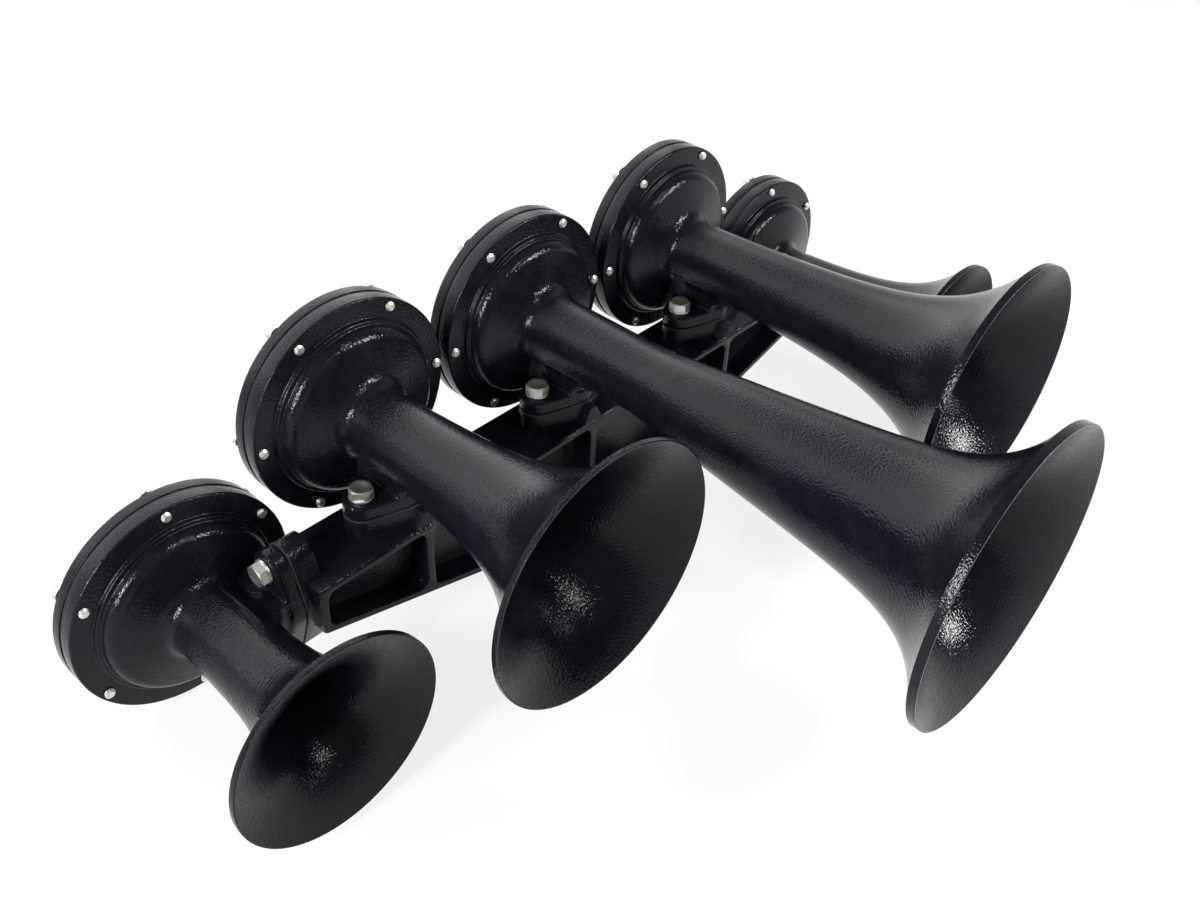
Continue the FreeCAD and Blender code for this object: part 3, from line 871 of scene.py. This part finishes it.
class Diaphragm:
    """Spring sheet behind the nozzle: its clamped rim stays and its middle lifts."""

    thickness = 0.8 * MM
    radius = 67.2 * MM
    hole_radius = 3.4 * MM
    hole_sides = 32
    gap = 0.1 * MM

    def __init__(self, chamber: ChamberSize) -> None:
        """Keep the sizes."""
        self.chamber = chamber
        self.free_radius = chamber.dome_radius - chamber.wall

    def sheet(self, name: str, inner: float, outer: float) -> Workpiece:
        """Flat ring, or a disc where the inner radius is nought."""
        front = self.chamber.lip_plane
        rear = front + self.thickness
        return spun(name, [(inner, front, 0.0), (outer, front, 0.0), (outer, rear, 0.0),
                           (inner, rear, 0.0)], COARSE_TURNS)

    def middle(self) -> Workpiece:
        """The free disc inside the clamped rim."""
        return self.sheet("diaphragm_middle", 0.0, self.free_radius - self.gap).smooth()

    def rim(self) -> Workpiece:
        """The clamped ring with its screw holes."""
        ring = self.sheet("diaphragm_rim", self.free_radius, self.radius)
        for index in range(Fasteners.screws):
            angle = math.tau * index / Fasteners.screws
            at = Vector((Fasteners.circle * math.cos(angle), self.chamber.lip_plane,
                         Fasteners.circle * math.sin(angle)))
            drill = Workpiece.added("drill", bpy.ops.mesh.primitive_cylinder_add,
                                    vertices=self.hole_sides, radius=self.hole_radius,
                                    depth=6 * self.thickness)
            ring.combine("DIFFERENCE", drill.put(
                Matrix.Translation(at) @ Matrix.Rotation(math.pi / 2, 4, "X")))
        return ring.clean().smooth()


@dataclass(frozen=True)
class BoltSize:
    """A hexagon-head bolt with its lock washer, upright, head above z = 0."""

    radius: float
    flats: float
    head: float
    length: float
    pitch: float
    washer_radius: float
    washer_hole: float
    washer_depth: float


class Bolt:
    """Turns one bolt size into a bolt and its split lock washer."""

    chamfer = math.radians(28.0)
    crown_share = 0.91
    cone_sides = 72
    coarse_merge = 0.03 * MM
    upward = 0.99
    land_share = 0.13
    dish_run_share, dish_depth_share = 0.05, 0.06
    # The thread's measures are shares of its pitch
    thread_depth, thread_root, thread_rise = 0.6, 0.4, 0.85
    runout, runout_depth = 0.8, 0.12
    thread_turns = 5
    tip_share = 0.68
    tip_round = 0.25 * MM
    shank_turns = 40
    washer_rise_share = 0.16
    washer_sweep = math.radians(349.0)
    washer_steps = 48
    washer_rounds = (0.15 * MM, 0.25 * MM)
    washer_corner_steps = 2
    smooth_degrees = 28.0

    def __init__(self, size: BoltSize) -> None:
        """Keep the sizes."""
        self.size = size

    def head(self) -> Workpiece:
        """Hexagonal head, its top turned to a chamfer and dished."""
        s = self.size
        corner = s.flats / 2 / math.cos(math.pi / 6)
        block = Workpiece.added("hex_head", bpy.ops.mesh.primitive_cylinder_add, vertices=6,
                                radius=corner, depth=s.head, location=(0, 0, s.head / 2))
        block.put(Matrix.Identity(4))
        crown = s.flats / 2 * self.crown_share
        spread = s.head / math.tan(self.chamfer)
        cone = Workpiece.added("head_cone", bpy.ops.mesh.primitive_cone_add,
                               vertices=self.cone_sides, radius1=crown + spread, radius2=crown,
                               depth=s.head, location=(0, 0, s.head / 2))
        cone.put(Matrix.Identity(4))
        block.combine("INTERSECT", cone)
        with block.editing("FACE"):
            bpy.ops.mesh.select_all(action="SELECT")
            bpy.ops.mesh.remove_doubles(threshold=self.coarse_merge)
            bpy.ops.mesh.dissolve_limited(angle_limit=FLAT_LIMIT)
            block.choose_faces(lambda normal: normal.z > self.upward)
            bpy.ops.mesh.inset(thickness=s.flats * self.land_share, use_even_offset=False)
            bpy.ops.mesh.inset(thickness=s.flats * self.dish_run_share,
                               depth=-s.head * self.dish_depth_share, use_even_offset=False)
        return block.clean()

    def shank(self) -> Workpiece:
        """Round shank whose last turns show their thread."""
        s, turns = self.size, self.thread_turns
        core = s.radius - self.thread_depth * s.pitch
        corners = [(0.0, s.head / 2, 0.0), (s.radius, s.head / 2, 0.0)]
        start = -s.length + (turns + 0.5) * s.pitch
        corners.append((s.radius, start, 0.0))
        for index in range(turns):
            level = start - index * s.pitch
            corners.append((core, level - self.thread_root * s.pitch, 0.0))
            if index < turns - 1:
                corners.append((s.radius, level - self.thread_rise * s.pitch, 0.0))
                corners.append((s.radius, level - s.pitch, 0.0))
        corners += [
            (s.radius - self.runout_depth * s.pitch, -s.length + self.runout * s.pitch, 0.0),
            (self.tip_share * s.radius, -s.length, self.tip_round),
            (0.0, -s.length, 0.0),
        ]
        shank = spun("shank", corners, self.shank_turns)
        return shank.put(Matrix.Rotation(math.pi / 2, 4, "X"))

    def bolt(self) -> Workpiece:
        """Head and shank as one piece."""
        return self.head().absorb([self.shank()]).smooth(self.smooth_degrees)

    def lock_washer(self) -> Workpiece:
        """Split spring washer: a square section swept almost once round, rising a little."""
        s = self.size
        rise = self.washer_rise_share * s.washer_depth
        depth = s.washer_depth - rise
        inner, outer = self.washer_rounds
        ring = traced("lock_washer", [
            (s.washer_hole, 0.0, inner), (s.washer_radius, 0.0, outer),
            (s.washer_radius, depth, outer), (s.washer_hole, depth, inner),
        ], self.washer_corner_steps)
        ring.put(Matrix.Rotation(math.pi / 2, 4, "X"))
        ring.modify("SCREW", angle=self.washer_sweep, steps=self.washer_steps,
                    render_steps=self.washer_steps, screw_offset=rise, axis="Z",
                    use_merge_vertices=False)
        with ring.editing():
            bpy.ops.mesh.select_all(action="SELECT")
            bpy.ops.mesh.fill_holes(sides=0)
        return ring.clean().smooth(self.smooth_degrees)


COVER_SCREW = BoltSize(3.0 * MM, 10.0 * MM, 4.0 * MM, 22.4 * MM, 1.0 * MM,
                       5.4 * MM, 3.3 * MM, 1.6 * MM)
FOOT_BOLT = BoltSize(4.0 * MM, 13.0 * MM, 5.3 * MM, 22.0 * MM, 1.25 * MM,
                     7.6 * MM, 4.4 * MM, 2.0 * MM)


class Fasteners:
    """Cover screws and foot bolts of every horn, each modelled once and copied."""

    screws = 6
    circle = 63.0 * MM
    # Turns of the heads in degrees: the first or middle one, then the step
    screw_spin = (17.0, 47.0)
    bolt_spin = (13.0, 33.0)

    def __init__(self, chamber: ChamberSize, foot: FootSize) -> None:
        """Model one set in the horn's own frame."""
        screw, bolt = Bolt(COVER_SCREW), Bolt(FOOT_BOLT)
        lying = Matrix.Rotation(-math.pi / 2, 4, "X")
        rim, ears = chamber.rim_plane, -foot.ear_top
        self.sets = {
            "cover_screws": self.ring(screw.bolt(), rim + COVER_SCREW.washer_depth, lying),
            "cover_washers": self.ring(screw.lock_washer(), rim, lying),
            "foot_bolts": self.pair(bolt.bolt(), foot, ears + FOOT_BOLT.washer_depth),
            "foot_washers": self.pair(bolt.lock_washer(), foot, ears),
        }

    def ring(self, pattern: Workpiece, plane: float, lying: Matrix) -> Workpiece:
        """Copies of a pattern round the rim, each turned a little differently."""
        copies, (first, step) = [], self.screw_spin
        for index in range(self.screws):
            angle = math.tau * index / self.screws
            at = Vector((self.circle * math.cos(angle), plane, self.circle * math.sin(angle)))
            spin = Matrix.Rotation(math.radians(first + step * index), 4, "Z")
            copies.append(pattern.copy("ring").put(Matrix.Translation(at) @ lying @ spin))
        pattern.discard()
        return copies[0].absorb(copies[1:])

    def pair(self, pattern: Workpiece, foot: FootSize, level: float) -> Workpiece:
        """Copies of a pattern on both ears."""
        copies, (middle, step) = [], self.bolt_spin
        for side in (-1, 1):
            at = Vector((side * foot.bolt_span, -foot.bolt_line, level))
            spin = Matrix.Rotation(math.radians(middle + step * side), 4, "Z")
            copies.append(pattern.copy("pair").put(Matrix.Translation(at) @ spin))
        pattern.discard()
        return copies[0].absorb(copies[1:])


class ManifoldCasting:
    """The cast manifold: the frame's own form with its sharp corners run round."""

    node = "manifold"
    edge_round = 1.1 * MM
    edge_segments = 3
    edge_limit = math.radians(28.0)
    smooth_degrees = 40.0

    def build(self) -> Workpiece:
        """A merged copy of the frame's node, bevelled."""
        pick(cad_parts[self.node])
        bpy.ops.object.duplicate(linked=False)
        casting = Workpiece(bpy.context.object)
        casting.rename("manifold_casting")
        casting.obj.parent = None
        for key in list(casting.obj.keys()):
            del casting.obj[key]
        casting.clean()
        with casting.editing():
            bpy.ops.mesh.select_all(action="SELECT")
            bpy.ops.mesh.dissolve_limited(angle_limit=FLAT_LIMIT)
        casting.modify("BEVEL", width=self.edge_round, segments=self.edge_segments,
                       limit_method="ANGLE", angle_limit=self.edge_limit)
        return casting.smooth(self.smooth_degrees)


@dataclass(frozen=True)
class Lamp:
    """One soft lamp that faces the horn, with its power in watts and its roll in degrees."""

    name: str
    at: Vector
    face: tuple[float, float]
    power: float
    roll: float = 0.0


class Studio:
    """Pale floor, soft lamps and the camera at the photograph's angle."""

    eye = Vector((-0.4764, -0.4500, 0.5758))
    right = Vector((0.6806, -0.7320, 0.0309))
    up = Vector((0.4356, 0.4383, 0.7862))
    forward = Vector((0.5891, 0.5217, -0.6171))
    sensor_width = 36.0
    lens = 37.04
    shift = (0.0031, -0.0136)
    clip = (0.01, 20.0)
    target = Vector((0.0, -0.06, 0.10))
    lamps = (
        Lamp("back_softbox", Vector((0.0, 1.40, 1.15)), (3.6, 1.7), 39.0, 8.0),
        Lamp("window_softbox", Vector((-1.45, -0.17, 0.82)), (0.28, 0.6), 28.0),
        Lamp("key_softbox", Vector((0.80, -1.14, 0.74)), (0.28, 0.28), 18.0),
        Lamp("high_softbox", Vector((0.17, -0.96, 1.32)), (0.22, 0.22), 6.0),
    )
    white = (1.0, 1.0, 1.0, 1.0)
    pale = (0.86, 0.86, 0.86, 1.0)
    horizon_fade = (0.2, 0.02)
    behind_fade = (-0.45, 0.1)
    behind_slope = (0.8, 0.6)
    overhead, rest = 0.24, 0.76
    floor_size = 16.0
    floor_level = -0.2 * MM
    floor_white_share = 0.8

    def camera(self) -> None:
        """Add the camera and make it the scene's."""
        data = bpy.data.cameras.new("photo_camera")
        data.sensor_width = self.sensor_width
        data.lens = self.lens
        data.shift_x, data.shift_y = self.shift
        data.clip_start, data.clip_end = self.clip
        camera = bpy.data.objects.new("photo_camera", data)
        turn = Matrix((self.right, self.up, -self.forward)).transposed()
        camera.matrix_world = Matrix.Translation(self.eye) @ turn.to_4x4()
        bpy.context.scene.collection.objects.link(camera)
        bpy.context.scene.camera = camera

    def light(self, lamp: Lamp) -> None:
        """Add one lamp and turn it to the horn."""
        bpy.ops.object.light_add(type="AREA", location=lamp.at)
        made = bpy.context.object
        made.name = lamp.name
        made.data.shape = "RECTANGLE"
        made.data.size, made.data.size_y = lamp.face
        made.data.energy = lamp.power
        roll = Quaternion((0.0, 0.0, 1.0), math.radians(lamp.roll))
        aim = (self.target - lamp.at).to_track_quat("-Z", "Y")
        made.rotation_euler = (aim @ roll).to_euler()

    @staticmethod
    def fade(graph: ShaderGraph, value: Signal, start: float, end: float) -> Signal:
        """Smooth ramp from 0 where a value is at its start to 1 at its end."""
        return graph.node("ShaderNodeMapRange", {"interpolation_type": "SMOOTHSTEP"},
                          {"Value": value, "From Min": start, "From Max": end})

    def world(self) -> None:
        """Room that is white behind the horn and along the horizon, and dimmer overhead."""
        world = bpy.data.worlds.new("white_room")
        world.use_nodes = True
        graph = ShaderGraph(world.node_tree)
        place = graph.node("ShaderNodeTexCoord", output="Generated")
        upward = graph.node("ShaderNodeSeparateXYZ", {}, {0: place}, "Z")
        backward = graph.node("ShaderNodeSeparateXYZ", {}, {0: place}, "Y")
        horizon = self.fade(graph, upward, *self.horizon_fade)
        along, down = self.behind_slope
        behind = self.fade(graph, along * backward - down * upward, *self.behind_fade)
        strength = self.overhead + self.rest * graph.maths("MAXIMUM", horizon, behind)
        sky = graph.node("ShaderNodeBackground", {},
                         {"Color": self.white, "Strength": strength})
        graph.node("ShaderNodeOutputWorld", {}, {"Surface": sky})
        bpy.context.scene.world = world

    def floor(self) -> None:
        """Wide pale floor just under the base that keeps a soft shadow."""
        floor = Workpiece.added("studio_floor", bpy.ops.mesh.primitive_plane_add,
                                size=self.floor_size, location=(0.0, 0.0, self.floor_level))
        floor.put(Matrix.Identity(4))
        material = bpy.data.materials.new("pale_floor")
        material.use_nodes = True
        graph = ShaderGraph(material.node_tree)
        matt = graph.node("ShaderNodeBsdfDiffuse", {}, {"Color": self.pale})
        glow = graph.node("ShaderNodeEmission", {}, {"Color": self.white, "Strength": 1.0})
        seen = [graph.node("ShaderNodeLightPath", output=f"Is {kind} Ray")
                for kind in ("Camera", "Glossy", "Transmission")]
        share = self.floor_white_share * (seen[0] + seen[1] + seen[2])
        surface = graph.node("ShaderNodeMixShader", {}, {0: share, 1: matt, 2: glow})
        graph.node("ShaderNodeOutputMaterial", {}, {"Surface": surface})
        floor.obj.data.materials.append(material)

    def build(self) -> None:
        """Set up the whole studio."""
        self.camera()
        self.world()
        self.floor()
        for lamp in self.lamps:
            self.light(lamp)


class TrainHorn:
    """The whole horn: builds every sub-assembly, places, rides and dresses it."""

    def __init__(self) -> None:
        """Keep the shared sizes and finishes."""
        self.chamber = ChamberSize()
        self.foot = FootSize()
        self.finishes = Finishes()

    def settle(self, piece: Workpiece, node: str | None, slot: MaterialSlot,
               body: str = ASSEMBLY) -> None:
        """Dress a finished piece, fix it to a body and let it stand for a CAD node.

        Args:
            piece: The finished piece.
            node: The CAD node that it stands for, if it stands for one.
            slot: Its finish.
            body: The body that it moves with.
        """
        self.finishes.dress(piece.obj, slot)
        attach(piece.obj, body)
        if node is not None:
            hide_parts(node)
        log.info("%s: %d faces", piece.obj.name, len(piece.obj.data.polygons))

    def build(self) -> None:
        """Build all pieces in order."""
        manifold = ManifoldCasting().build()
        self.settle(manifold, ManifoldCasting.node, MaterialSlot.PAINT)
        cover = BackCover(self.chamber).build()
        fasteners = Fasteners(self.chamber, self.foot)
        spring = Diaphragm(self.chamber)
        rim, middle = spring.rim(), spring.middle()
        for size in BELLS:
            place = horn_place(size, self.chamber)
            casting = BellCasting(size, self.chamber, self.foot).build().put(place)
            self.settle(casting, f"bell_{size.number}", MaterialSlot.PAINT)
            back = cover.copy(f"back_half_{size.number}").put(place)
            self.settle(back, f"back_cover_{size.number}", MaterialSlot.PAINT)
            for node, pattern in fasteners.sets.items():
                piece = pattern.copy(f"{node}_set_{size.number}").put(place)
                self.settle(piece, f"{node}_{size.number}", MaterialSlot.PLATING)
            self.settle(rim.copy(f"diaphragm_rim_{size.number}").put(place), None,
                        MaterialSlot.SPRING)
            self.settle(middle.copy(f"diaphragm_middle_{size.number}").put(place),
                        f"diaphragm_{size.number}", MaterialSlot.SPRING,
                        f"diaphragm_body_{size.number}")
            for sheet in SheetPiece:
                self.finishes.dress(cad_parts[f"{sheet.value}_{size.number}"],
                                    MaterialSlot.GASKET)
        for pattern in (cover, rim, middle, *fasteners.sets.values()):
            pattern.discard()


def main() -> None:
    logging.basicConfig(level=logging.INFO, format="%(name)s %(message)s")
    TrainHorn().build()
    Studio().build()
    bpy.context.scene.view_settings.view_transform = "Standard"


if __name__ == "__main__":
    main()
